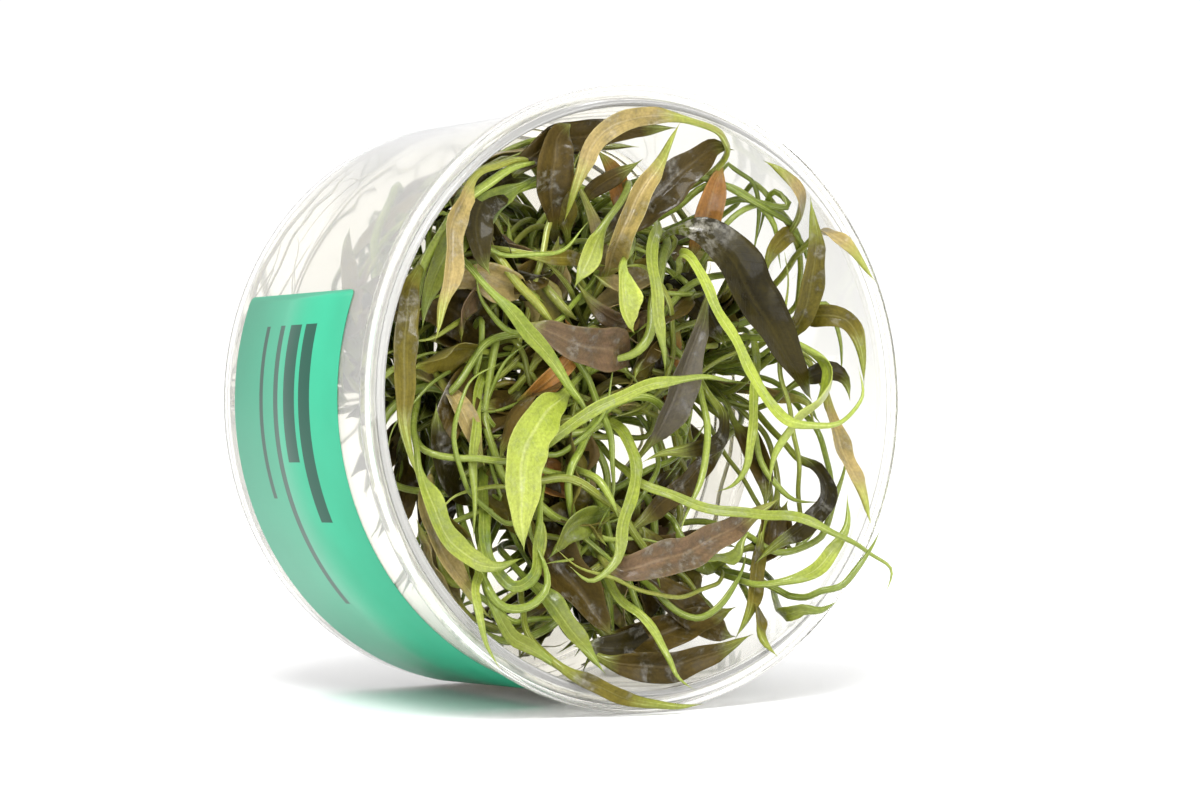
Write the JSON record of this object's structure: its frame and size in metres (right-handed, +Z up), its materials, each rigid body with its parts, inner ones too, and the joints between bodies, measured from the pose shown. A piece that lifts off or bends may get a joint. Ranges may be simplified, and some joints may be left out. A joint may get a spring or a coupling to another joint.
{
  "type": "tissue culture plant cup",
  "caption": "Clear plastic culture cup lying on its side, full of tangled cryptocoryne leaves and petioles, with a clear gel base and a wrap-round sticker.",
  "frame": {"origin": "middle of the object's box, on the surface that the cup lies on", "axes": "+Z up, the cup's mouth toward -Y and its base toward +Y, +X to the right of someone who looks into the mouth"},
  "size_m": [0.0996, 0.0648, 0.0996],
  "materials": {
    "plastic": "gloss",
    "label": "satin",
    "gel": "gloss",
    "lime": "satin",
    "green": "satin",
    "olive": "satin",
    "dark": "satin",
    "brown": "satin",
    "mauve": "satin",
    "tan": "satin",
    "orange": "satin"
  },
  "bodies": {
    "root": {"cup": "plastic", "label": "label", "nutrient_gel": "gel", "crown_01": "green", "crown_02": "green", "crown_03": "green", "crown_04": "green", "crown_05": "green", "leaf_big_olive": "dark", "leaf_grey_lance": "mauve", "leaf_cut_brown": "mauve", "leaf_bright_lime": "lime", "leaf_long_mauve": "mauve", "petiole_hook_right": "lime", "leaf_loop_right": "lime", "petiole_loop_low": "green", "leaf_fold_corner": "green", "petiole_y_hook": "lime", "leaf_tan_hanging": "tan", "leaf_black_olive": "dark", "leaf_dark_triangle": "brown", "ribbon_top": "tan", "leaf_brown_upper": "brown", "leaf_pale_fold": "tan", "leaf_lime_a": "lime", "leaf_lime_b": "lime", "leaf_orange": "orange", "strap_right_olive": "olive", "stalk_curl_top": "tan", "leaf_tan_over_rim": "tan", "strap_olive_arch": "olive", "leaf_twisted_lime": "lime", "petiole_long_s": "lime", "strap_tan_right": "tan", "leaf_curl_grey": "dark", "leaf_over_bottom_rim": "olive", "leaf_tan_left_low": "tan", "stem_over_rim": "lime", "strap_left_olive": "olive", "leaf_lime_left": "lime", "leaf_dark_bottom": "brown", "leaf_bottom_brown_a": "brown", "leaf_bottom_brown_b": "brown", "leaf_green_bottom": "green", "leaf_bright_long": "green", "leaf_wide_brown_left": "brown", "leaf_dark_left": "dark", "petiole_loop_a": "green", "petiole_vertical_left": "lime", "petiole_arch_centre": "lime", "petiole_centre_drop": "lime", "leaf_dark_mid": "dark", "leaf_dark_curl_mid": "dark", "leaf_brown_drop": "brown", "leaf_brown_diagonal": "brown", "petiole_pale_right": "lime", "petiole_loop_upper": "green", "strap_over_low_right": "olive", "petiole_bottom_mid": "lime", "leaf_yellow_wall": "tan"}
  },
  "joints": []
}
